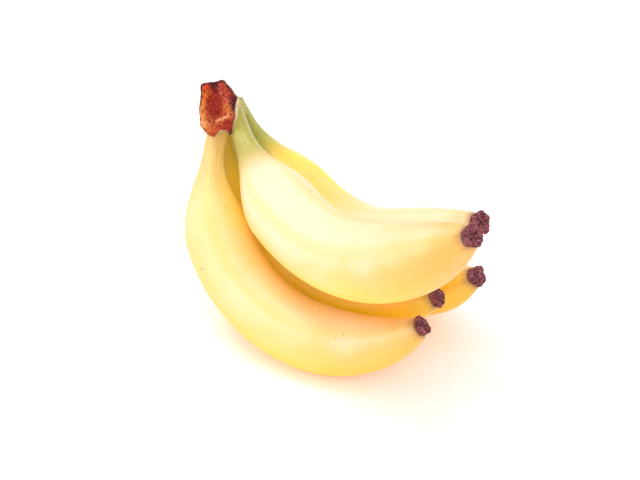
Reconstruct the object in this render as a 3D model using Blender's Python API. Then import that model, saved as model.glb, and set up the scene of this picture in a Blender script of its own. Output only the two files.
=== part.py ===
"""A bunch of five bananas, as picked, lying on its convex side.

Three lower fingers rest on the surface and two upper fingers lie over them. All five necks
run into one cut crown, and each finger ends in the withered remains of its flower.

Frame: +Z up, the surface at z = 0, the crown towards -X and the finger tips towards +X.
The origin is the bottom centre of the whole bunch. Lengths in this script are millimetres.
"""
from math import comb, pi

import bmesh
import bpy
import numpy as np

MM = 0.001

# Each finger follows a smooth curve with five guide points, from its root in the crown
# to its tip. Girth and neck are mean diameters, across the five soft ridges.
FINGERS = {
    "lower_front": {
        "guide": [(-88, 10.5, 88.5), (-74.5, -29.5, 50.5), (-46.5, -36, 5.5), (16, -23.5, 3.5),
                  (45.5, -7.5, 36.5)],
        "girth": 32.2,
        "neck": 10.4,
    },
    "lower_middle": {
        "guide": [(-93.4, 16, 91), (-99.2, 11, 43), (-57.5, 5.5, 0), (-4, 3, 7), (36, 16, 35.5)],
        "girth": 30.2,
        "neck": 10.2,
    },
    "lower_back": {
        "guide": [(-94, 20.8, 85), (-86.8, 48.7, 40.6), (-52, 48.5, 8), (5, 39, 3), (42.5, 36, 39.5)],
        "girth": 33.4,
        "neck": 9.2,
    },
    "upper_front": {
        "guide": [(-85, 10.5, 98), (-41.5, -10.5, 54.5), (28, -43, 55.5), (60, -29.5, 87.5), (92, -39, 116)],
        "girth": 34.8,
        "neck": 10.0,
    },
    "upper_back": {
        "guide": [(-89.5, 15, 99), (-70.5, 26.5, 53), (-20.5, 15, 25), (22.5, 6, 57.5), (68, 1, 94.5)],
        "girth": 33.2,
        "neck": 8.6,
    },
}
# Moves the bunch so that the origin is its bottom centre. Its downward part is how far the
# lower fingers flatten against the surface.
SHIFT = (3.8, -5.0, -0.9)

# Where the finger's thickness changes, as shares of its length from the crown.
ROOT_SHARE = 0.040           # the part of the curve that stays inside the crown
NECK_SHARE = 0.10
SHOULDER_SHARE = 0.33
TIP_SHARE = 0.98              # where the peel ends; the flower remains reach the curve's end
TAPER_SHARE = 0.66
TAPER_POWER = 2.2
TIP_RADIUS = 5.3
TIP_ROUNDING = 1.0
TIP_LENGTH = 0.7              # how far the rounding reaches beyond the last full ring
RIDGES = 5
RIDGE_DEPTH_BODY = 0.018
RIDGE_DEPTH_ENDS = 0.055
NECK_RIDGES_END = 0.08
TIP_RIDGES_START = 0.77
RIDGES_FADE = 0.21

FINGER_RINGS = 34
FINGER_SIDES = 24
CURVE_STEPS = 600
TANGENT_STEP = 0.004
BEND_PLANE_SHARES = (0.0, 0.55, 1.0)

# The crown is a short thick block. It is laid out in its own axes: across, upright and
# deep, where deep runs from the cut face back along the row of necks.
CROWN_CENTRE = (-79.5, -2.2, 98.3)
CROWN_ACROSS = (0.922, 0.380, 0.075)
CROWN_UPRIGHT = (-0.155, 0.184, 0.970)
CUT_FACE = [
    (9.5, 6.0), (6.0, 10.5), (2.5, 14.0), (-2.5, 12.5), (-5.5, 12.0), (-8.5, 11.0), (-8.5, 5.5),
    (-9.5, -0.5), (-9.0, -9.0), (-6.0, -12.5), (-2.5, -14.0), (0.5, -10.0), (4.0, -10.0),
    (6.0, -12.5), (7.0, -7.5), (8.5, -2.5), (8.0, 1.0),
]
CUT_FACE_HALF = (10.0, 14.0)
# Behind the cut face: depth, how round the section has become, its centre across and
# upright, and its half width and half height.
CROWN_SECTIONS = [
    (1.5, 0.00, 0.0, 0.0, 9.5, 13.0),
    (6.0, 0.30, -0.8, -2.0, 9.0, 11.5),
    (12.0, 0.80, -2.0, -4.0, 9.5, 10.5),
    (18.0, 1.00, -3.5, -5.2, 10.3, 9.2),
    (24.0, 1.00, -5.0, -6.8, 11.3, 8.8),
    (29.0, 1.00, -5.3, -9.0, 10.2, 8.0),
    (33.5, 1.00, -4.3, -11.3, 8.2, 6.9),
    (37.0, 1.00, -3.8, -12.6, 6.8, 6.0),
    (39.2, 1.00, -3.8, -13.0, 4.6, 4.2),
]
RECESS_SCALE = 0.55
RECESS_DEPTH = 1.2
RECESS_RIM_SCALE = 0.75
FACE_EDGE_DEPTH = 0.3
SOCKET_SHARES = (0.038, 0.16)  # the stretch of each finger that the crown makes room for
SOCKET_RINGS = 12
JOINT_GAP = 0.35             # clearance between pieces that grow against each other

# A flower end: distance beyond the tip and radius of each ring, then its lobes.
FLOWER_RINGS = [(0.0, 4.2), (0.7, 5.0), (1.6, 5.3), (2.5, 5.0), (3.2, 4.2)]
FLOWER_LOBES = ((3, 0.10, 0.4), (5, 0.07, 1.9))
FLOWER_DISH = 0.9
FLOWER_DISH_SCALE = 0.5
FLOWER_SIDES = 20

PEEL = ((0.86, 0.62, 0.16), 0.42)
CROWN_WOOD = ((0.42, 0.13, 0.05), 0.75)
FLOWER_DRY = ((0.05, 0.025, 0.03), 0.85)


def clear_scene():
    for old in list(bpy.data.objects):
        bpy.data.objects.remove(old, do_unlink=True)


def make_material(name, look):
    colour, roughness = look
    material = bpy.data.materials.new(name)
    material.use_nodes = True
    shader = material.node_tree.nodes["Principled BSDF"]
    shader.inputs["Base Color"].default_value = (*colour, 1.0)
    shader.inputs["Roughness"].default_value = roughness
    shader.inputs["Metallic"].default_value = 0.0
    return material


def unit(vector):
    return vector / np.linalg.norm(vector, axis=-1, keepdims=True)


def curve_points(guide, shares):
    """Points on the guide's curve at the given shares of its length."""
    guide = np.array(guide, float) + np.array(SHIFT)
    degree = len(guide) - 1
    t = np.linspace(0.0, 1.0, CURVE_STEPS)[:, None]
    weights = [comb(degree, i) * t**i * (1 - t) ** (degree - i) for i in range(degree + 1)]
    fine = sum(w * point for w, point in zip(weights, guide))
    steps = np.linalg.norm(np.diff(fine, axis=0), axis=1)
    travelled = np.concatenate([[0.0], np.cumsum(steps)])
    wanted = np.asarray(shares) * travelled[-1]
    return np.stack([np.interp(wanted, travelled, fine[:, axis]) for axis in range(3)], axis=1)


def finger_frames(guide, shares):
    """Centre, tangent, sideways and inward directions along a finger."""
    centres = curve_points(guide, shares)
    ahead = curve_points(guide, np.minimum(np.asarray(shares) + TANGENT_STEP, 1.0))
    behind = curve_points(guide, np.maximum(np.asarray(shares) - TANGENT_STEP, 0.0))
    tangents = unit(ahead - behind)
    root, middle, tip = curve_points(guide, BEND_PLANE_SHARES)
    sideways = unit(np.cross(middle - root, tip - root))
    inward = unit(np.cross(sideways, tangents))
    return centres, tangents, unit(np.cross(tangents, inward)), inward


def smooth_step(x):
    x = np.clip(x, 0.0, 1.0)
    return x * x * (3 - 2 * x)


def finger_radius(share, girth, neck):
    """Radius along a finger: thin neck, full body, blunt tip."""
    swell = smooth_step((share - NECK_SHARE) / (SHOULDER_SHARE - NECK_SHARE))
    body = neck / 2 + (girth / 2 - neck / 2) * swell
    taper = np.clip((share - TAPER_SHARE) / (TIP_SHARE - TAPER_SHARE), 0.0, 1.0) ** TAPER_POWER
    return body * (1 - taper) + TIP_RADIUS * taper


def ridge_depth(share):
    towards_neck = 1 - smooth_step((share - NECK_RIDGES_END) / RIDGES_FADE)
    towards_tip = smooth_step((share - TIP_RIDGES_START) / RIDGES_FADE)
    ends = np.maximum(towards_neck, towards_tip)
    return RIDGE_DEPTH_BODY + (RIDGE_DEPTH_ENDS - RIDGE_DEPTH_BODY) * ends


def loft(name, rings, material):
    """One closed body through a list of rings with equal point counts."""
    mesh = bpy.data.meshes.new(name)
    bm = bmesh.new()
    rows = [[bm.verts.new(point * MM) for point in ring] for ring in rings]
    for near, far in zip(rows, rows[1:]):
        for i in range(len(near)):
            j = (i + 1) % len(near)
            bm.faces.new((near[i], near[j], far[j], far[i]))
    bm.faces.new(rows[0][::-1])
    bm.faces.new(rows[-1])
    bmesh.ops.recalc_face_normals(bm, faces=bm.faces)
    bm.to_mesh(mesh)
    bm.free()
    mesh.shade_smooth()
    mesh.materials.append(material)
    body = bpy.data.objects.new(name, mesh)
    bpy.context.collection.objects.link(body)
    return body


def finger_rings(finger, shares, grow=0.0):
    """Cross-sections of a finger, each a rounded pentagon."""
    centres, _, sideways, inward = finger_frames(finger["guide"], shares)
    angles = np.linspace(0.0, 2 * pi, FINGER_SIDES, endpoint=False)
    rings = []
    for share, centre, side, up in zip(shares, centres, sideways, inward):
        radius = finger_radius(share, finger["girth"], finger["neck"]) + grow
        ridges = 1 + ridge_depth(share) * np.cos(RIDGES * angles)
        reach = (radius * ridges)[:, None]
        rings.append(centre + reach * (np.cos(angles)[:, None] * up + np.sin(angles)[:, None] * side))
    return rings


def build_finger(label, finger, material):
    shares = np.linspace(ROOT_SHARE, TIP_SHARE, FINGER_RINGS)
    rings = finger_rings(finger, shares)
    centre, tangent, _, _ = [values[-1] for values in finger_frames(finger["guide"], shares)]
    shrink = 1 - TIP_ROUNDING / TIP_RADIUS
    rings.append(centre + (rings[-1] - centre) * shrink + tangent * TIP_LENGTH)
    for ring in rings:
        ring[:, 2] = np.maximum(ring[:, 2], 0.0)
    return loft("banana_" + label, rings, material)


def build_flower_end(label, finger, material):
    """The withered flower remains, just beyond the finger's rounded tip."""
    frames = finger_frames(finger["guide"], [TIP_SHARE])
    centre, tangent, side, up = [values[0] for values in frames]
    start = centre + tangent * (TIP_LENGTH + JOINT_GAP)
    angles = np.linspace(0.0, 2 * pi, FLOWER_SIDES, endpoint=False)
    lobes = 1 + sum(size * np.cos(count * angles + phase) for count, size, phase in FLOWER_LOBES)
    around = np.cos(angles)[:, None] * up + np.sin(angles)[:, None] * side
    rings = [start + tangent * ahead + radius * lobes[:, None] * around for ahead, radius in FLOWER_RINGS]
    last_ahead, last_radius = FLOWER_RINGS[-1]
    dish = start + tangent * (last_ahead - FLOWER_DISH)
    rings.append(dish + FLOWER_DISH_SCALE * last_radius * lobes[:, None] * around)
    return loft("flower_end_" + label, rings, material)


def crown_rings():
    """Sections of the crown, from inside the recess in its cut face to its rounded back."""
    across = unit(np.array(CROWN_ACROSS))
    upright = unit(np.array(CROWN_UPRIGHT))
    deep = unit(np.cross(upright, across))
    centre = np.array(CROWN_CENTRE) + np.array(SHIFT)
    face = np.array(CUT_FACE)
    angles = np.arctan2(face[:, 1] / CUT_FACE_HALF[1], face[:, 0] / CUT_FACE_HALF[0])
    oval = np.stack([np.cos(angles), np.sin(angles)], axis=1)

    def place(outline, depth):
        return centre + outline[:, :1] * across + outline[:, 1:] * upright + deep * depth

    recess = place(face * RECESS_SCALE, RECESS_DEPTH)
    rings = [recess, place(face * RECESS_RIM_SCALE, 0.0), place(face, FACE_EDGE_DEPTH)]
    for depth, roundness, middle_x, middle_y, half_x, half_y in CROWN_SECTIONS:
        rounded = face * (1 - roundness) + oval * (half_x, half_y) * roundness
        rings.append(place(rounded + (middle_x, middle_y), depth))
    return rings


def build_crown(material):
    """The crown, with a socket around each neck that runs into it."""
    crown = loft("crown", crown_rings(), material)
    for label, finger in FINGERS.items():
        shares = np.linspace(*SOCKET_SHARES, SOCKET_RINGS)
        cutter = loft("socket_" + label, finger_rings(finger, shares, grow=JOINT_GAP), material)
        cutter.hide_render = True
        cutter.display_type = "WIRE"
        cut = crown.modifiers.new("socket_" + label, "BOOLEAN")
        cut.operation = "DIFFERENCE"
        cut.solver = "EXACT"
        cut.object = cutter
    return crown


def main():
    clear_scene()
    peel = make_material("peel", PEEL)
    wood = make_material("crown_tissue", CROWN_WOOD)
    dry = make_material("dried_flower", FLOWER_DRY)
    for label, finger in FINGERS.items():
        build_finger(label, finger, peel)
        build_flower_end(label, finger, dry)
    build_crown(wood)


main()
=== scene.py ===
"""The looks of a bunch of five bananas lying on its convex side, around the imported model.

Lengths in the tables below are millimetres and are turned into metres where meshes are made.
"""
from math import comb, cos, pi, radians, sin

import bmesh
import bpy
import numpy as np
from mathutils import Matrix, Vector, noise


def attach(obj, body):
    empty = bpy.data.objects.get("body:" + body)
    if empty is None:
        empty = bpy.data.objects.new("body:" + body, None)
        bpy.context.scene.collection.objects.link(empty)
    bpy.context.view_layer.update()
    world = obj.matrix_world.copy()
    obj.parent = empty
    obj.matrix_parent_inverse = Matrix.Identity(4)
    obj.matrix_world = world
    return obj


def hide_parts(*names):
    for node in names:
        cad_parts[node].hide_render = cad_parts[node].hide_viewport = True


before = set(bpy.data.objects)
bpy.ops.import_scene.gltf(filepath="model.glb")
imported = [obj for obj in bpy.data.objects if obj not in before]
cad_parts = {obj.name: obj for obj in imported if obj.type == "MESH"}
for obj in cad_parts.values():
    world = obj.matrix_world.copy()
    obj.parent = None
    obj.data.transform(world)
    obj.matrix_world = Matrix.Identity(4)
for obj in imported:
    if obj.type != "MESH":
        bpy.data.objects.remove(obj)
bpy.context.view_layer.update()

MM = 0.001

# ---------------------------------------------------------------- the bunch's own sizes
# Each finger follows a smooth curve through its guide, from its root in the crown to its tip.
# Green is how green its neck is. Deep is painted shade: how much deeper its yellow is painted
# towards the neck and towards the tip, and below 0 it is painted light, paler. Warm is how orange
# its tip end is. Flower scales its flower end, and seed picks its own small irregularities.
FINGERS = {
    "lower_front": {
        "guide": [(-88, 10.5, 88.5), (-74.5, -29.5, 50.5), (-46.5, -36, 5.5), (16, -23.5, 3.5),
                  (45.5, -7.5, 36.5)],
        "girth": 32.2,
        "neck": 10.4,
        "green": 0.06,
        "seed": 1,
        "deep": (0.12, 0.15),
        "warm": 0.60,
        "flower": 0.92,
    },
    "lower_middle": {
        "guide": [(-93.4, 16, 91), (-99.2, 11, 43), (-57.5, 5.5, 0), (-4, 3, 7), (36, 16, 35.5)],
        "girth": 30.2,
        "neck": 12.0,        # thicker than the solid's 10.2, so that no gap shows beside it
        "green": 0.30,
        "seed": 2,
        "deep": (1.0, 0.9),
        "warm": 0.30,
        "flower": 0.98,
    },
    "lower_back": {
        "guide": [(-94, 20.8, 85), (-86.8, 48.7, 40.6), (-52, 48.5, 8), (5, 39, 3), (42.5, 36, 39.5)],
        "girth": 33.4,
        "neck": 9.2,
        "green": 0.80,
        "seed": 3,
        "deep": (1.0, 0.9),
        "warm": 0.50,
        "flower": 0.98,
    },
    "upper_front": {
        "guide": [(-85, 10.5, 98), (-41.5, -10.5, 54.5), (28, -43, 55.5), (60, -29.5, 87.5), (92, -39, 116)],
        "girth": 34.8,
        "neck": 10.0,
        "green": 0.85,
        "seed": 4,
        "deep": (-0.15, 0.10),
        "warm": 1.0,
        "flower": 0.98,
    },
    "upper_back": {
        "guide": [(-89.5, 15, 99), (-70.5, 26.5, 53), (-20.5, 15, 25), (22.5, 6, 57.5), (68, 1, 94.5)],
        "girth": 33.2,
        "neck": 8.6,
        "green": 1.0,
        "seed": 5,
        "deep": (0.75, -0.45),
        "warm": 0.0,
        "flower": 0.98,
    },
}
SHIFT = (3.8, -5.0, -0.9)

CURVE_STEPS = 1200
TANGENT_STEP = 0.004
BEND_PLANE_SHARES = (0.0, 0.55, 1.0)
ROOT_SHARE = 0.040
NECK_SHARE = 0.10
SHOULDER_SHARE = 0.33
TIP_SHARE = 0.98
TAPER_SHARE = 0.66
TAPER_POWER = 2.2
TIP_RADIUS = 5.3
TIP_ROUNDING = 1.0
TIP_LENGTH = 0.7
TIP_STEPS = 6
RIDGES = 5
RIDGE_DEPTH_BODY = 0.018
RIDGE_DEPTH_ENDS = 0.055
NECK_RIDGES_END = 0.08
TIP_RIDGES_START = 0.77
RIDGES_FADE = 0.21
RIB_DEPTH = 0.014            # fine ribs near the neck and the tip
RIB_SCALE = 0.22
NECK_RIBS_END = 0.12
NECK_RIBS_FADE = 0.14
TIP_RIBS_START = 0.90
TIP_RIBS_FADE = 0.08
PEEL_INSET = 0.28            # keeps the finer skin inside the solid model's box
DEEP_START = 0.30            # where the painted shade of deep starts to change from its neck value to its tip value
DEEP_FADE = 0.50
WARM_START = 0.56
WARM_FADE = 0.42
CREASE_REACH = 6.0           # how far from a neighbour the painted crease shade reaches
CREASE_START = 0.16          # necks nearer the crown than this don't count as neighbours
CREASE_SAMPLES = 90
LIT_SIDE = (-0.20, -0.45, 0.87)   # the side of the fingers painted palest, the lit side: painted light
FINGER_RINGS = 260
FINGER_SIDES = 120

CROWN_CENTRE = (-79.5, -2.2, 98.3)
CROWN_ACROSS = (0.922, 0.380, 0.075)
CROWN_UPRIGHT = (-0.155, 0.184, 0.970)
CUT_FACE = [
    (9.5, 6.0), (6.0, 10.5), (2.5, 14.0), (-2.5, 12.5), (-5.5, 12.0), (-8.5, 11.0), (-8.5, 5.5),
    (-9.5, -0.5), (-9.0, -9.0), (-6.0, -12.5), (-2.5, -14.0), (0.5, -10.0), (4.0, -10.0),
    (6.0, -12.5), (7.0, -7.5), (8.5, -2.5), (8.0, 1.0),
]
# Behind the cut face: depth, how round, centre across and upright, half width and half height.
CROWN_SECTIONS = [
    (0.0, 0.00, 0.0, 0.0, 9.5, 13.0),
    (1.5, 0.00, 0.0, 0.0, 9.5, 13.0),
    (6.0, 0.30, -0.8, -2.0, 9.0, 11.5),
    (12.0, 0.80, -2.0, -4.0, 9.5, 10.5),
    (18.0, 1.00, -3.5, -5.2, 10.3, 9.2),
    (24.0, 1.00, -5.0, -6.8, 11.3, 8.8),
    (29.0, 1.00, -5.3, -9.0, 10.2, 8.0),
    (33.5, 1.00, -4.3, -11.3, 8.2, 6.9),
    (37.0, 1.00, -3.8, -12.6, 6.8, 6.0),
    (39.2, 1.00, -3.8, -13.0, 4.6, 4.2),
    (39.8, 1.00, -3.8, -13.0, 0.6, 0.6),
]
CUT_FACE_HALF = (10.0, 14.0)
OUTLINE_STEPS = 1440
OUTLINE_SOFTENING = 25
RAGGED_SCALE = 2.2
RAGGED_DEPTH = 0.022
SKIN_SHRINK = 0.985          # keeps the torn outline inside the solid model's box
SKIN_BUMPS = 0.012
CROWN_SIDES = 320
CROWN_FACE_RINGS = 70
CROWN_BACK_RINGS = 150
BACK_RING_SPACING = 1.35     # above 1, the rings are closer together near the cut face
FACE_FLAT_RIM = 0.10         # share of the face, inside its edge, where the relief fades out
FIBRE_RELIEF = 0.22

# The cut face sinks by a depth (or rises) at a centre, with half sizes and a turn in radians.
FACE_DENTS = [
    (1.70, (-2.2, 1.6), (4.4, 7.4), 0.0),        # recess
    (1.80, (-2.0, 10.4), (1.2, 3.8), 0.0),       # groove up to the notch
    (0.55, (1.2, 5.8), (0.5, 4.2), 0.80),        # seam of the right lobe
    (0.60, (-4.8, -6.2), (0.5, 2.0), 0.9),       # crack
    (-0.55, (2.4, -4.2), (0.8, 5.0), -1.08),     # torn ridge
    (0.90, (8.2, 2.0), (1.6, 3.0), 0.0),         # dark patch at the right edge
]
FACE_COLOUR = (0.52, 0.085, 0.020)
# Over that, in this order: colour, strength, centre, half sizes, turn, and if the fibres break it up.
FACE_SPOTS = [
    # Left side: bright orange, paler towards the lower corner, red near the top.
    ((0.90, 0.24, 0.012), 1.2, (-7.4, 3.0), (2.9, 9.0), 0.0, False),
    ((0.86, 0.37, 0.11), 1.1, (-9.2, 0.0), (1.8, 7.5), 0.0, False),
    ((0.84, 0.38, 0.13), 1.0, (-8.2, -8.0), (3.0, 4.5), 0.0, False),
    ((0.70, 0.045, 0.010), 1.0, (-5.7, 10.0), (2.6, 2.6), 0.0, False),
    # Right lobe: dark red with an orange part below it.
    ((0.36, 0.036, 0.024), 1.5, (4.8, 7.0), (4.4, 6.5), 0.5, False),
    ((0.66, 0.19, 0.040), 1.2, (5.0, 0.4), (3.6, 2.6), -0.4, False),
    ((0.32, 0.018, 0.012), 1.4, (4.8, -7.6), (3.8, 3.4), 0.0, False),
    # The long recess in the middle, and the groove that runs up from it to a notch.
    ((0.25, 0.011, 0.004), 1.6, (-2.2, 1.2), (4.5, 7.4), 0.0, False),
    ((0.26, 0.008, 0.020), 1.3, (-1.6, 8.4), (1.4, 3.4), 0.0, False),
    ((0.045, 0.005, 0.014), 1.4, (-2.0, 11.6), (2.2, 2.8), 0.0, False),
    # Pale seam, pale torn ridge and dark crack.
    ((0.74, 0.22, 0.11), 0.9, (2.0, 6.2), (0.55, 4.0), 0.80, True),
    ((0.86, 0.36, 0.16), 0.95, (2.2, -4.4), (0.75, 5.4), -1.08, True),
    ((0.16, 0.025, 0.010), 1.0, (-4.8, -6.2), (0.35, 1.8), 0.9, False),
    # Dark patch at the right edge, dark hook at the bottom, dark top left edge.
    ((0.035, 0.003, 0.012), 1.5, (8.2, 3.0), (2.3, 4.4), 0.0, False),
    ((0.045, 0.004, 0.014), 1.3, (6.4, -12.2), (2.0, 2.8), 0.0, False),
    ((0.050, 0.004, 0.018), 1.3, (-9.2, 9.5), (1.7, 3.8), 0.0, False),
]
FACE_PALE_FIBRE = (0.86, 0.34, 0.11)
FACE_DARK_FIBRE = (0.14, 0.008, 0.007)
FACE_RIM = (0.060, 0.006, 0.022)
SKIN_CREAM = (0.72, 0.60, 0.36)
SKIN_TAN = (0.62, 0.36, 0.15)
SKIN_GREEN = (0.46, 0.44, 0.12)
SKIN_STREAK = (0.34, 0.17, 0.08)
SKIN_RIM = (0.09, 0.02, 0.02)

# A flower end: distance beyond the tip and radius, from its base over its rim into its dish.
FLOWER_PROFILE = [(0.0, 3.2), (0.1, 4.2), (0.8, 4.7), (1.6, 4.9), (2.4, 4.7), (2.9, 4.0), (2.7, 3.0),
                  (2.1, 2.0), (2.0, 1.0), (2.4, 0.2)]
FLOWER_GAP = 0.35
FLOWER_RINGS = 60
FLOWER_SIDES = 110
FLOWER_FIRST_SEED = 40
FLOWER_LOBES = ((3, 0.10), (5, 0.06))    # lobes round it, and how deep they are
FLOWER_FOLDS = 0.10
FLOWER_FOLD_SCALE = 1.5
FLOWER_LIFT = 0.45
FLOWER_TIGHT = 1.2           # nearer the tip than this, it isn't loose enough to fold

# ---------------------------------------------------------------- camera
CAMERA_AZIMUTH = 40.0
CAMERA_ELEVATION = 31.9
CAMERA_DISTANCE = 1.053
CAMERA_AIM = (-0.0686, 0.0569, -0.0009)
CAMERA_LENS = 118.5

# ---------------------------------------------------------------- floor and lights
FLOOR_HALF = 6.0
FLOOR_COLOUR = (0.94, 0.86, 0.885, 1.0)
FLOOR_GLOW = 0.12
WORLD_STRENGTH = 1.08
WHITE = (1.0, 1.0, 1.0, 1.0)
LIGHT_TARGET = (0.0, 0.0, 0.05)
# Name, place, size, power and colour.
LIGHTS = [
    ("key", (-0.51, -0.17, 1.2), 0.5, 5.0, (1.0, 0.99, 0.97)),
    ("fill", (0.64, -0.77, 0.55), 1.0, 3.5, (1.0, 1.0, 1.0)),
]


def unit(vector):
    return vector / np.linalg.norm(vector, axis=-1, keepdims=True)


def smooth_step(x):
    x = np.clip(x, 0.0, 1.0)
    return x * x * (3 - 2 * x)


def blob(x, y, centre, half, turn=0.0):
    """A soft oval spot, 1 in its middle and 0 well outside."""
    dx = x - centre[0]
    dy = y - centre[1]
    along = dx * cos(turn) + dy * sin(turn)
    aside = -dx * sin(turn) + dy * cos(turn)
    return np.exp(-((along / half[0]) ** 2 + (aside / half[1]) ** 2))


def rough(points, scale, octaves=4, seed=0):
    """Fractal noise, roughly -1 to 1, at points in millimetres."""
    offset = Vector((17.3 * seed, -9.1 * seed, 5.7 * seed))
    values = [noise.fractal(Vector(point) / scale + offset, 0.9, 2.1, octaves) for point in points.tolist()]
    return np.array(values)


# ---------------------------------------------------------------- finger shapes
def curve_points(guide, shares):
    """Points on the guide's curve at the given shares of its length, and that length."""
    guide = np.array(guide, float) + np.array(SHIFT)
    degree = len(guide) - 1
    t = np.linspace(0.0, 1.0, CURVE_STEPS)[:, None]
    weights = [comb(degree, i) * t**i * (1 - t) ** (degree - i) for i in range(degree + 1)]
    fine = sum(w * point for w, point in zip(weights, guide))
    steps = np.linalg.norm(np.diff(fine, axis=0), axis=1)
    travelled = np.concatenate([[0.0], np.cumsum(steps)])
    wanted = np.asarray(shares) * travelled[-1]
    points = np.stack([np.interp(wanted, travelled, fine[:, axis]) for axis in range(3)], axis=1)
    return points, travelled[-1]


def finger_frames(guide, shares):
    """Centre, tangent, sideways and inward directions along a finger."""
    centres, _ = curve_points(guide, shares)
    ahead, _ = curve_points(guide, np.minimum(np.asarray(shares) + TANGENT_STEP, 1.0))
    behind, _ = curve_points(guide, np.maximum(np.asarray(shares) - TANGENT_STEP, 0.0))
    tangents = unit(ahead - behind)
    (root, middle, tip), _ = curve_points(guide, BEND_PLANE_SHARES)
    sideways = unit(np.cross(middle - root, tip - root))
    inward = unit(np.cross(sideways, tangents))
    return centres, tangents, unit(np.cross(tangents, inward)), inward


def finger_radius(share, girth, neck):
    """Radius (mm) before the ridges: neck, swelling shoulder, body and tapered tip."""
    swell = smooth_step((share - NECK_SHARE) / (SHOULDER_SHARE - NECK_SHARE))
    body = neck / 2 + (girth / 2 - neck / 2) * swell
    taper = np.clip((share - TAPER_SHARE) / (TIP_SHARE - TAPER_SHARE), 0.0, 1.0) ** TAPER_POWER
    return body * (1 - taper) + TIP_RADIUS * taper


def ridge_depth(share):
    """Depth of the soft facets as a share of the radius, deeper towards the ends."""
    towards_neck = 1 - smooth_step((share - NECK_RIDGES_END) / RIDGES_FADE)
    towards_tip = smooth_step((share - TIP_RIDGES_START) / RIDGES_FADE)
    ends = np.maximum(towards_neck, towards_tip)
    return RIDGE_DEPTH_BODY + (RIDGE_DEPTH_ENDS - RIDGE_DEPTH_BODY) * ends


def grid_mesh(name, rings):
    """A closed mesh through rings of equal point counts, given in millimetres."""
    count = len(rings[0])
    points = np.concatenate(rings) * MM
    faces = []
    for row in range(len(rings) - 1):
        for i in range(count):
            j = (i + 1) % count
            faces.append((row * count + i, row * count + j, (row + 1) * count + j, (row + 1) * count + i))
    faces.append(tuple(range(count))[::-1])
    faces.append(tuple(range((len(rings) - 1) * count, len(rings) * count)))
    mesh = bpy.data.meshes.new(name)
    mesh.from_pydata(points.tolist(), [], faces)
    bm = bmesh.new()
    bm.from_mesh(mesh)
    bmesh.ops.recalc_face_normals(bm, faces=bm.faces)
    bm.to_mesh(mesh)
    bm.free()
    mesh.shade_smooth()
    return mesh


def add_attribute(mesh, name, kind, values):
    layer = mesh.attributes.new(name, kind, "POINT")
    key = {"FLOAT": "value", "FLOAT_VECTOR": "vector", "FLOAT_COLOR": "color"}[kind]
    layer.data.foreach_set(key, np.asarray(values, np.float32).ravel())


def place(name, mesh, material):
    piece = bpy.data.objects.new(name, mesh)
    bpy.context.collection.objects.link(piece)
    mesh.materials.append(material)
    return piece


def ride_as(piece, node):
    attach(piece, "root")
    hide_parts(node)


def closeness(label, points):
    """How near a neighbour is, for the painted crease shade: 1 where a finger touches one of its neighbours,
    fading to 0 away from it.
    """
    nearest = np.full(len(points), 1e3)
    shares = np.linspace(CREASE_START, TIP_SHARE, CREASE_SAMPLES)
    for other, finger in FINGERS.items():
        if other == label:
            continue
        centres, _ = curve_points(finger["guide"], shares)
        radii = np.array([finger_radius(share, finger["girth"], finger["neck"]) for share in shares])
        apart = np.linalg.norm(points[:, None, :] - centres[None, :, :], axis=2) - radii[None, :]
        nearest = np.minimum(nearest, apart.min(axis=1))
    return np.exp(-np.maximum(nearest, 0.0) / CREASE_REACH)


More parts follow.
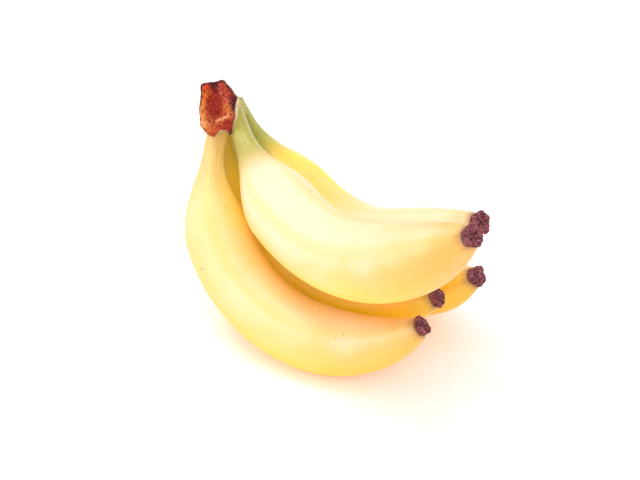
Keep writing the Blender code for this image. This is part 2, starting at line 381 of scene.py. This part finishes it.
def build_finger(label, finger, material):
    shares = np.linspace(ROOT_SHARE, TIP_SHARE, FINGER_RINGS)
    centres, tangents, sideways, inward = finger_frames(finger["guide"], shares)
    _, length = curve_points(finger["guide"], shares)
    angles = np.linspace(0.0, 2 * pi, FINGER_SIDES, endpoint=False)
    ring_of_ribs = np.stack([np.cos(angles), np.sin(angles), np.zeros(FINGER_SIDES)], axis=1)
    ribs = rough(ring_of_ribs, RIB_SCALE, 2, finger["seed"])
    rings = []
    straight = []
    for share, centre, side, up in zip(shares, centres, sideways, inward):
        radius = finger_radius(share, finger["girth"], finger["neck"]) - PEEL_INSET
        neck = 1 - smooth_step((share - NECK_RIBS_END) / NECK_RIBS_FADE)
        tip = smooth_step((share - TIP_RIBS_START) / TIP_RIBS_FADE)
        ridges = 1 + ridge_depth(share) * np.cos(RIDGES * angles) + RIB_DEPTH * ribs * max(neck, tip)
        across = radius * ridges * np.cos(angles)
        aside = radius * ridges * np.sin(angles)
        rings.append(centre + across[:, None] * up + aside[:, None] * side)
        straight.append(np.stack([across, aside, np.full(FINGER_SIDES, share * length)], axis=1))
    # The tip rounds over onto a small flat end.
    for turn in np.linspace(1.0 / TIP_STEPS, 1.0, TIP_STEPS):
        shrink = 1 - (1 - cos(turn * pi / 2)) * TIP_ROUNDING / TIP_RADIUS
        ring = centres[-1] + (rings[FINGER_RINGS - 1] - centres[-1]) * shrink
        rings.append(ring + tangents[-1] * sin(turn * pi / 2) * TIP_LENGTH)
        straight.append(straight[FINGER_RINGS - 1] * (shrink, shrink, 1.0))
    for ring in rings:
        ring[:, 2] = np.maximum(ring[:, 2], 0.0)
    mesh = grid_mesh("peel_" + label, rings)
    all_shares = np.concatenate([shares, np.full(TIP_STEPS, 1.0)])
    add_attribute(mesh, "straight", "FLOAT_VECTOR", np.concatenate(straight) * MM)
    add_attribute(mesh, "share", "FLOAT", np.repeat(all_shares, FINGER_SIDES))
    add_attribute(mesh, "green", "FLOAT", np.full(len(mesh.vertices), finger["green"]))
    # Painted shade and light: deep paints the yellow deeper above 0 and paler below 0, from its neck value
    # to its tip value.
    first, last = finger["deep"]
    deep = first + (last - first) * smooth_step((all_shares - DEEP_START) / DEEP_FADE)
    add_attribute(mesh, "deep", "FLOAT", np.repeat(deep, FINGER_SIDES))
    warm = finger["warm"] * smooth_step((all_shares - WARM_START) / WARM_FADE)
    add_attribute(mesh, "warm", "FLOAT", np.repeat(warm, FINGER_SIDES))
    add_attribute(mesh, "ridge", "FLOAT", np.tile(np.cos(RIDGES * angles), len(rings)))
    # Painted light: the peel is painted paler the more it faces the lit side.
    outward = np.cos(angles)[None, :, None] * inward[:, None, :]
    outward = outward + np.sin(angles)[None, :, None] * sideways[:, None, :]
    pale = (outward @ unit(np.array(LIT_SIDE))).reshape(-1)
    pale = np.concatenate([pale, np.tile(pale[-FINGER_SIDES:], TIP_STEPS)])
    add_attribute(mesh, "pale", "FLOAT", pale)
    # Painted shade in the creases between the fingers.
    add_attribute(mesh, "crease", "FLOAT", closeness(label, np.concatenate(rings)))
    ride_as(place("peel_" + label, mesh, material), "banana_" + label)


# ---------------------------------------------------------------- flower ends
def build_flower_end(label, finger, material):
    """The withered flower remains: a ragged, folded stub with a sunk middle."""
    frames = finger_frames(finger["guide"], [TIP_SHARE])
    centre, tangent, side, up = [values[0] for values in frames]
    start = centre + tangent * (TIP_LENGTH + FLOWER_GAP)
    seed = finger["seed"]
    rng = np.random.default_rng(FLOWER_FIRST_SEED + seed)
    angles = np.linspace(0.0, 2 * pi, FLOWER_SIDES, endpoint=False)
    lobes = sum(depth * np.cos(count * angles + rng.uniform(0, 6)) for count, depth in FLOWER_LOBES)
    around = np.cos(angles)[:, None] * up + np.sin(angles)[:, None] * side
    profile = np.array(FLOWER_PROFILE)
    spread = np.linspace(0.0, len(profile) - 1, FLOWER_RINGS)
    aheads = np.interp(spread, np.arange(len(profile)), profile[:, 0])
    radii = np.interp(spread, np.arange(len(profile)), profile[:, 1])
    rings = []
    crumples = []
    for ahead, radius in zip(aheads, radii):
        flat = np.stack([np.cos(angles) * 4, np.sin(angles) * 4, np.full(FLOWER_SIDES, ahead)], axis=1)
        crumple = rough(flat, FLOWER_FOLD_SCALE, 4, seed)
        loose = min(ahead / FLOWER_TIGHT, 1.0)
        folds = FLOWER_FOLDS * np.clip(crumple, -1.2, 0.9)
        reach = finger["flower"] * radius * (1 + (lobes + folds) * loose)
        lift = ahead + FLOWER_LIFT * loose * np.clip(crumple, -1.5, 1.0)
        rings.append(start + tangent * lift[:, None] + reach[:, None] * around)
        crumples.append(crumple)
    mesh = grid_mesh("flower_" + label, rings)
    add_attribute(mesh, "crumple", "FLOAT", np.concatenate(crumples))
    add_attribute(mesh, "ahead", "FLOAT", np.repeat(aheads, FLOWER_SIDES))
    ride_as(place("flower_" + label, mesh, material), "flower_end_" + label)


# ---------------------------------------------------------------- crown
def resample_outline(outline, count):
    """Points on a closed outline at even angles round its middle, with softened corners."""
    corners = np.array(outline)
    angles = np.unwrap(np.arctan2(corners[:, 1], corners[:, 0]))
    fine = angles[0] + np.linspace(0.0, 2 * pi, OUTLINE_STEPS, endpoint=False)
    closed_angles = np.append(angles, angles[0] + 2 * pi)
    closed = np.append(corners, corners[:1], axis=0)
    window = np.hanning(OUTLINE_SOFTENING)
    window /= window.sum()
    pick = np.linspace(0, OUTLINE_STEPS, count, endpoint=False).astype(int)
    columns = []
    for axis in range(2):
        values = np.interp(fine, closed_angles, closed[:, axis])
        softened = np.convolve(np.tile(values, 3), window, "same")[OUTLINE_STEPS:2 * OUTLINE_STEPS]
        columns.append(softened[pick])
    return np.stack(columns, axis=1)


def face_relief(u, v, grain):
    """How far the cut face sinks (mm) below its plane at u across and v upright."""
    dents = [depth * blob(u, v, centre, half, turn) for depth, centre, half, turn in FACE_DENTS]
    return sum(dents) + FIBRE_RELIEF * grain


def shade(colours, layer, amount):
    """Colours with a layer of one colour laid over them."""
    amount = np.clip(amount, 0.0, 1.0)[:, None]
    return colours * (1 - amount) + np.array(layer) * amount


def face_colours(u, v, edge, grain, fine):
    """Colours of the cut face: rust orange, darker in its recess, purple at its torn rim."""
    colours = np.tile(np.array(FACE_COLOUR), (len(u), 1))
    torn = np.clip(0.75 + 1.3 * grain, 0.1, 1.2)
    for colour, strength, centre, half, turn, broken in FACE_SPOTS:
        amount = strength * blob(u, v, centre, half, turn)
        colours = shade(colours, colour, amount * torn if broken else amount)
    colours = shade(colours, FACE_PALE_FIBRE, 0.45 * np.clip(fine * 1.8 - 0.45, 0, 1))
    colours = shade(colours, FACE_DARK_FIBRE, 0.90 * np.clip(-grain * 2.0 - 0.15, 0, 1))
    upper = smooth_step((v + 4.0) / 8.0)
    rim = smooth_step((edge - 0.88) / 0.08) * (0.30 + 0.70 * upper) * (0.8 + 0.5 * grain)
    return shade(colours, FACE_RIM, rim)


def side_colours(u, depth, grain):
    """The crown's skin: pale cream with a torn dark rim, greener and browner further back."""
    colours = np.tile(np.array(SKIN_CREAM), (len(u), 1))
    colours = shade(colours, SKIN_TAN, smooth_step((-u - 2.0) / 6.0))
    colours = shade(colours, SKIN_GREEN, np.full(len(u), smooth_step((depth - 4.0) / 10.0)))
    colours = shade(colours, SKIN_STREAK, np.clip(grain * 0.8 - 0.1, 0, 0.7))
    rim = (1 - smooth_step((depth - 0.3) / 1.4)) * np.clip(0.9 + 0.4 * grain, 0, 1)
    return shade(colours, SKIN_RIM, rim)


def crown_layers():
    """Outlines in the cut face's own plane, the depth of each, and its share of the face or None."""
    outline = resample_outline(CUT_FACE, CROWN_SIDES)
    half_width, half_height = CUT_FACE_HALF
    angles = np.arctan2(outline[:, 1] / half_height, outline[:, 0] / half_width)
    oval = np.stack([np.cos(angles), np.sin(angles)], axis=1)
    ragged = rough(np.append(outline, np.zeros((CROWN_SIDES, 1)), axis=1), RAGGED_SCALE, 4, 7)
    outline = outline * (1 + RAGGED_DEPTH * ragged[:, None])
    layers = []
    for share in np.linspace(0.01, 1.0, CROWN_FACE_RINGS):
        layers.append((outline * share * SKIN_SHRINK, 0.0, share))
    table = np.array(CROWN_SECTIONS)
    for step in np.linspace(0.0, 1.0, CROWN_BACK_RINGS + 1)[1:]:
        depth = table[-1, 0] * step**BACK_RING_SPACING
        values = [np.interp(depth, table[:, 0], table[:, column]) for column in range(1, 6)]
        roundness, middle_x, middle_y, half_x, half_y = values
        section = (outline * (1 - roundness) + oval * (half_x, half_y) * roundness) * SKIN_SHRINK
        layers.append((section + (middle_x, middle_y), depth, None))
    return layers


def build_crown(material):
    across = unit(np.array(CROWN_ACROSS))
    upright = unit(np.array(CROWN_UPRIGHT))
    deep = unit(np.cross(upright, across))
    centre = np.array(CROWN_CENTRE) + np.array(SHIFT)
    rings = []
    colours = []
    for section, depth, share in crown_layers():
        u, v = section[:, 0], section[:, 1]
        flat = np.stack([u, v, np.full(CROWN_SIDES, depth)], axis=1)
        sunk = np.zeros(CROWN_SIDES)
        if share is None:
            grain = rough(flat * (1.0, 1.0, 0.35), 1.4, 3, 6)
            section = section * (1 + SKIN_BUMPS * grain[:, None])
            colours.append(side_colours(u, depth, grain))
        else:
            grain = rough(flat * (1.0, 0.55, 1.0), 0.9, 4, 3)
            fine = rough(flat * (1.0, 0.7, 1.0), 0.45, 2, 5)
            sunk = face_relief(u, v, grain) * smooth_step((1.0 - share) / FACE_FLAT_RIM)
            colours.append(face_colours(u, v, share, grain, fine))
        place_at = section[:, :1] * across + section[:, 1:] * upright
        rings.append(centre + place_at + (depth + sunk)[:, None] * deep)
    mesh = grid_mesh("crown_cut", rings)
    colours = np.concatenate(colours)
    add_attribute(mesh, "tint", "FLOAT_COLOR", np.append(colours, np.ones((len(colours), 1)), axis=1))
    ride_as(place("crown_cut", mesh, material), "crown")


# ---------------------------------------------------------------- node helpers
class Graph:
    """Short ways to add nodes to one material."""

    def __init__(self, name):
        self.material = bpy.data.materials.new(name)
        self.material.use_nodes = True
        self.tree = self.material.node_tree
        self.shader = self.tree.nodes["Principled BSDF"]

    def feed(self, socket, value):
        if isinstance(value, bpy.types.NodeSocket):
            self.tree.links.new(value, socket)
        else:
            socket.default_value = value

    def attribute(self, name, output="Fac"):
        node = self.tree.nodes.new("ShaderNodeAttribute")
        node.attribute_name = name
        return node.outputs[output]

    def object_coordinates(self):
        return self.tree.nodes.new("ShaderNodeTexCoord").outputs["Object"]

    def maths(self, operation, a, b=0.0):
        node = self.tree.nodes.new("ShaderNodeMath")
        node.operation = operation
        self.feed(node.inputs[0], a)
        self.feed(node.inputs[1], b)
        return node.outputs[0]

    def between(self, value, low, high, start=0.0, end=1.0):
        """Maps value smoothly from start at low to end at high."""
        node = self.tree.nodes.new("ShaderNodeMapRange")
        node.interpolation_type = "SMOOTHSTEP"
        self.feed(node.inputs["Value"], value)
        self.feed(node.inputs["From Min"], low)
        self.feed(node.inputs["From Max"], high)
        self.feed(node.inputs["To Min"], start)
        self.feed(node.inputs["To Max"], end)
        return node.outputs["Result"]

    def mix(self, amount, first, second):
        node = self.tree.nodes.new("ShaderNodeMix")
        node.data_type = "RGBA"
        self.feed(node.inputs["Factor"], amount)
        for name, colour in (("A", first), ("B", second)):
            self.feed(node.inputs[name], (*colour, 1.0) if isinstance(colour, tuple) else colour)
        return node.outputs["Result"]

    def stretch(self, vector, scale):
        node = self.tree.nodes.new("ShaderNodeVectorMath")
        node.operation = "MULTIPLY"
        self.feed(node.inputs[0], vector)
        node.inputs[1].default_value = scale
        return node.outputs[0]

    def noise(self, vector, scale, detail=3.0, roughness=0.5):
        node = self.tree.nodes.new("ShaderNodeTexNoise")
        self.feed(node.inputs["Vector"], vector)
        node.inputs["Scale"].default_value = scale
        node.inputs["Detail"].default_value = detail
        node.inputs["Roughness"].default_value = roughness
        return node.outputs["Fac"]

    def cells(self, vector, scale):
        node = self.tree.nodes.new("ShaderNodeTexVoronoi")
        self.feed(node.inputs["Vector"], vector)
        node.inputs["Scale"].default_value = scale
        return node.outputs["Distance"], node.outputs["Color"]

    def bump(self, height, distance, strength):
        node = self.tree.nodes.new("ShaderNodeBump")
        node.inputs["Distance"].default_value = distance
        node.inputs["Strength"].default_value = strength
        self.feed(node.inputs["Height"], height)
        return node.outputs["Normal"]

    def set(self, name, value):
        self.feed(self.shader.inputs[name], value)


# ---------------------------------------------------------------- materials
# The deep, pale, ridge, crease and contact colours of the peel are painted shade and painted light.
PEEL_DEEP_SHADE = (0.99, 0.66, 0.012)
PEEL_BODY = (0.97, 0.60, 0.190)
PEEL_PALE_LIT = (0.97, 0.70, 0.45)
PEEL_PATCH = (0.97, 0.69, 0.38)
PEEL_RIDGE_SHADE = (0.96, 0.54, 0.080)
PEEL_WARM = (0.96, 0.40, 0.085)
PEEL_STREAK = (0.80, 0.36, 0.06)
PEEL_CREASE_SHADE = (1.0, 0.80, 0.012)
PEEL_CONTACT_SHADE = (0.50, 0.15, 0.006)
NECK_TANS = (0.77, 0.53, 0.16), (0.71, 0.44, 0.11)
NECK_OLIVES = (0.38, 0.365, 0.055), (0.29, 0.295, 0.030)
TIP_GREEN = (0.50, 0.40, 0.075)
TIP_BROWN = (0.26, 0.13, 0.045)
TIP_RIM = (0.55, 0.33, 0.15)
SPECK = (0.27, 0.16, 0.07)


def peel_specks(g, at, streaks):
    """How strongly sparse specks of two sizes show."""
    distance, chance = g.cells(at, 210.0)
    present = g.between(chance, 0.50, 0.54)
    size = g.between(distance, 0.050, 0.110, 1.0, 0.0)
    fine = g.maths("MULTIPLY", g.maths("MULTIPLY", present, size), 0.60)
    distance, chance = g.cells(at, 75.0)
    present = g.between(chance, 0.62, 0.66)
    uneven = g.maths("ADD", distance, g.maths("MULTIPLY", streaks, 0.02))
    size = g.between(uneven, 0.035, 0.075, 1.0, 0.0)
    coarse = g.maths("MULTIPLY", g.maths("MULTIPLY", present, size), 0.8)
    return g.maths("MAXIMUM", fine, coarse)


def peel_material():
    g = Graph("peel")
    at = g.attribute("straight", "Vector")
    share = g.attribute("share")
    deep = g.attribute("deep")
    crease = g.attribute("crease")
    clouds = g.noise(at, 38.0, 2.0)
    streaks = g.noise(g.stretch(at, (1.0, 1.0, 0.07)), 620.0, 4.0, 0.6)
    patches = g.noise(g.stretch(at, (1.0, 1.0, 0.45)), 95.0, 3.0)
    cloudy = g.maths("MULTIPLY", g.maths("SUBTRACT", clouds, 0.5), 0.7)
    # How lit the peel is painted: its lit side with random clouds, less its painted depth of shade.
    pale = g.maths("SUBTRACT", g.maths("ADD", g.attribute("pale"), cloudy), deep)

    # Body: painted light and shade, from deep yellow on the side turned from the light to cream on the lit
    # side.
    colour = g.mix(g.between(pale, -0.5, 0.45), PEEL_DEEP_SHADE, PEEL_BODY)
    colour = g.mix(g.between(pale, 0.30, 1.0), colour, PEEL_PALE_LIT)
    colour = g.mix(g.maths("MULTIPLY", g.between(patches, 0.5, 0.8), 0.35), colour, PEEL_PATCH)
    # Painted shade: a deeper yellow along the ridge crests marks the facet edges.
    ridge_shade = g.between(g.attribute("ridge"), 0.3, 1.0)
    colour = g.mix(g.maths("MULTIPLY", ridge_shade, 0.32), colour, PEEL_RIDGE_SHADE)
    # Orange tip end: partly its own colour, and partly painted shade, as it is painted weaker on the lit
    # side.
    warm = g.maths("MULTIPLY", g.attribute("warm"), g.between(pale, 0.25, 0.95, 1.0, 0.25))
    colour = g.mix(warm, colour, PEEL_WARM)
    colour = g.mix(g.maths("MULTIPLY", g.between(streaks, 0.52, 0.75), 0.08), colour, PEEL_STREAK)
    # Painted shade: a deep golden yellow in the creases near neighbouring fingers, and a dark brown line
    # where they touch.
    colour = g.mix(g.maths("MULTIPLY", g.between(crease, 0.18, 0.72), 0.90), colour, PEEL_CREASE_SHADE)
    colour = g.mix(g.maths("MULTIPLY", g.between(crease, 0.70, 0.83), 0.80), colour, PEEL_CONTACT_SHADE)

    # Necks: tan where the finger is fully ripe, olive green where it is not yet.
    uneven = g.maths("SUBTRACT", streaks, 0.5)
    edge = g.maths("ADD", share, g.maths("MULTIPLY", uneven, 0.05))
    neck = g.between(edge, 0.13, 0.25, 1.0, 0.0)
    fibres = g.between(streaks, 0.35, 0.70)
    tan_amount = g.maths("MULTIPLY", neck, g.between(deep, 0.0, 1.0, 0.75, 0.30))
    colour = g.mix(tan_amount, colour, g.mix(fibres, *NECK_TANS))
    olive_amount = g.maths("MULTIPLY", neck, g.attribute("green"))
    colour = g.mix(olive_amount, colour, g.mix(fibres, *NECK_OLIVES))

    # Tips: a little green, then dry and brown where the flower sat.
    colour = g.mix(g.maths("MULTIPLY", g.between(share, 0.90, 0.965), 0.38), colour, TIP_GREEN)
    dry_edge = g.maths("ADD", share, g.maths("MULTIPLY", uneven, 0.035))
    colour = g.mix(g.between(dry_edge, 0.964, 0.986, 0.0, 0.55), colour, TIP_BROWN)
    colour = g.mix(g.between(share, 0.979, 0.985, 0.0, 0.5), colour, TIP_RIM)
    g.set("Base Color", g.mix(peel_specks(g, at, streaks), colour, SPECK))

    g.set("Roughness", g.between(g.noise(at, 420.0, 3.0), 0.3, 0.7, 0.36, 0.50))
    g.set("Specular IOR Level", 0.38)
    g.set("Coat Weight", 0.14)
    g.set("Coat Roughness", 0.22)
    g.set("Sheen Weight", 0.05)
    g.set("Sheen Roughness", 0.4)
    g.set("Subsurface Weight", 0.12)
    g.set("Subsurface Radius", (1.0, 0.70, 0.20))
    g.set("Subsurface Scale", 0.003)
    pores = g.maths("MULTIPLY", g.noise(at, 1500.0, 2.0), 0.25)
    folds = g.maths("MULTIPLY", g.between(streaks, 0.35, 0.7), g.between(share, 0.30, 0.12, 0.15, 1.0))
    g.set("Normal", g.bump(g.maths("ADD", pores, folds), 0.00007, 0.7))
    return g.material


CUT_PALE_GRAIN = (0.84, 0.30, 0.10)
CUT_PIT = (0.10, 0.008, 0.006)


def crown_material():
    g = Graph("crown_tissue")
    at = g.object_coordinates()
    grain = g.noise(at, 1100.0, 4.0, 0.65)
    pits, _ = g.cells(at, 900.0)
    pale = g.maths("MULTIPLY", g.between(grain, 0.55, 0.72), 0.16)
    colour = g.mix(pale, g.attribute("tint", "Color"), CUT_PALE_GRAIN)
    colour = g.mix(g.maths("MULTIPLY", g.between(pits, 0.28, 0.10), 0.35), colour, CUT_PIT)
    g.set("Base Color", colour)
    g.set("Roughness", g.between(grain, 0.3, 0.7, 0.50, 0.80))
    g.set("Specular IOR Level", 0.14)
    height = g.maths("SUBTRACT", grain, g.maths("MULTIPLY", g.between(pits, 0.30, 0.08), 0.5))
    g.set("Normal", g.bump(height, 0.0004, 0.8))
    return g.material


DRY_DARK = (0.060, 0.006, 0.015)
DRY_FOLD = (0.30, 0.062, 0.085)
DRY_FLECK = (0.66, 0.36, 0.34)
DRY_PIT = (0.012, 0.004, 0.006)
DRY_BASE = (0.52, 0.30, 0.14)


def flower_material():
    g = Graph("dried_flower")
    at = g.object_coordinates()
    mottle = g.noise(at, 900.0, 4.0, 0.65)
    fleck = g.noise(at, 1700.0, 3.0, 0.6)
    colour = g.mix(g.between(g.attribute("crumple"), -0.6, 0.7), DRY_DARK, DRY_FOLD)
    colour = g.mix(g.maths("MULTIPLY", g.between(fleck, 0.54, 0.64), 0.60), colour, DRY_FLECK)
    colour = g.mix(g.maths("MULTIPLY", g.between(mottle, 0.46, 0.34), 0.8), colour, DRY_PIT)
    colour = g.mix(g.between(g.attribute("ahead"), 0.70, 0.20, 0.0, 0.6), colour, DRY_BASE)
    g.set("Base Color", colour)
    g.set("Roughness", g.between(mottle, 0.3, 0.7, 0.62, 0.88))
    g.set("Specular IOR Level", 0.3)
    g.set("Normal", g.bump(g.maths("ADD", mottle, fleck), 0.0006, 0.9))
    return g.material


# ---------------------------------------------------------------- stage
def add_camera():
    azimuth = radians(CAMERA_AZIMUTH)
    elevation = radians(CAMERA_ELEVATION)
    back = Vector((sin(azimuth) * cos(elevation), -cos(azimuth) * cos(elevation), sin(elevation)))
    data = bpy.data.cameras.new("camera")
    data.lens = CAMERA_LENS
    data.sensor_width = 36.0
    data.clip_start = 0.05
    data.clip_end = 20.0
    camera = bpy.data.objects.new("camera", data)
    camera.location = Vector(CAMERA_AIM) + back * CAMERA_DISTANCE
    camera.rotation_euler = back.to_track_quat("Z", "Y").to_euler()
    bpy.context.collection.objects.link(camera)
    bpy.context.scene.camera = camera


def add_light(name, location, size, power, colour):
    data = bpy.data.lights.new(name, "AREA")
    data.shape = "DISK"
    data.size = size
    data.energy = power
    data.color = colour
    light = bpy.data.objects.new(name, data)
    light.location = location
    light.rotation_euler = (Vector(location) - Vector(LIGHT_TARGET)).to_track_quat("Z", "Y").to_euler()
    bpy.context.collection.objects.link(light)


def add_stage():
    mesh = bpy.data.meshes.new("floor")
    bm = bmesh.new()
    corners = [(-1, -1), (1, -1), (1, 1), (-1, 1)]
    bm.faces.new([bm.verts.new((x * FLOOR_HALF, y * FLOOR_HALF, 0.0)) for x, y in corners])
    bm.to_mesh(mesh)
    bm.free()
    g = Graph("floor")
    g.set("Base Color", FLOOR_COLOUR)
    g.set("Roughness", 0.8)
    g.set("Specular IOR Level", 0.2)
    g.set("Emission Color", WHITE)
    g.set("Emission Strength", FLOOR_GLOW)
    floor = place("floor", mesh, g.material)
    world = bpy.data.worlds.new("studio")
    bpy.context.scene.world = world
    world.use_nodes = True
    background = world.node_tree.nodes["Background"]
    background.inputs["Color"].default_value = WHITE
    background.inputs["Strength"].default_value = WORLD_STRENGTH
    for light in LIGHTS:
        add_light(*light)


def main():
    bpy.context.scene.view_settings.view_transform = "Standard"
    peel = peel_material()
    dry = flower_material()
    for label, finger in FINGERS.items():
        build_finger(label, finger, peel)
        build_flower_end(label, finger, dry)
    build_crown(crown_material())
    add_stage()
    add_camera()


main()
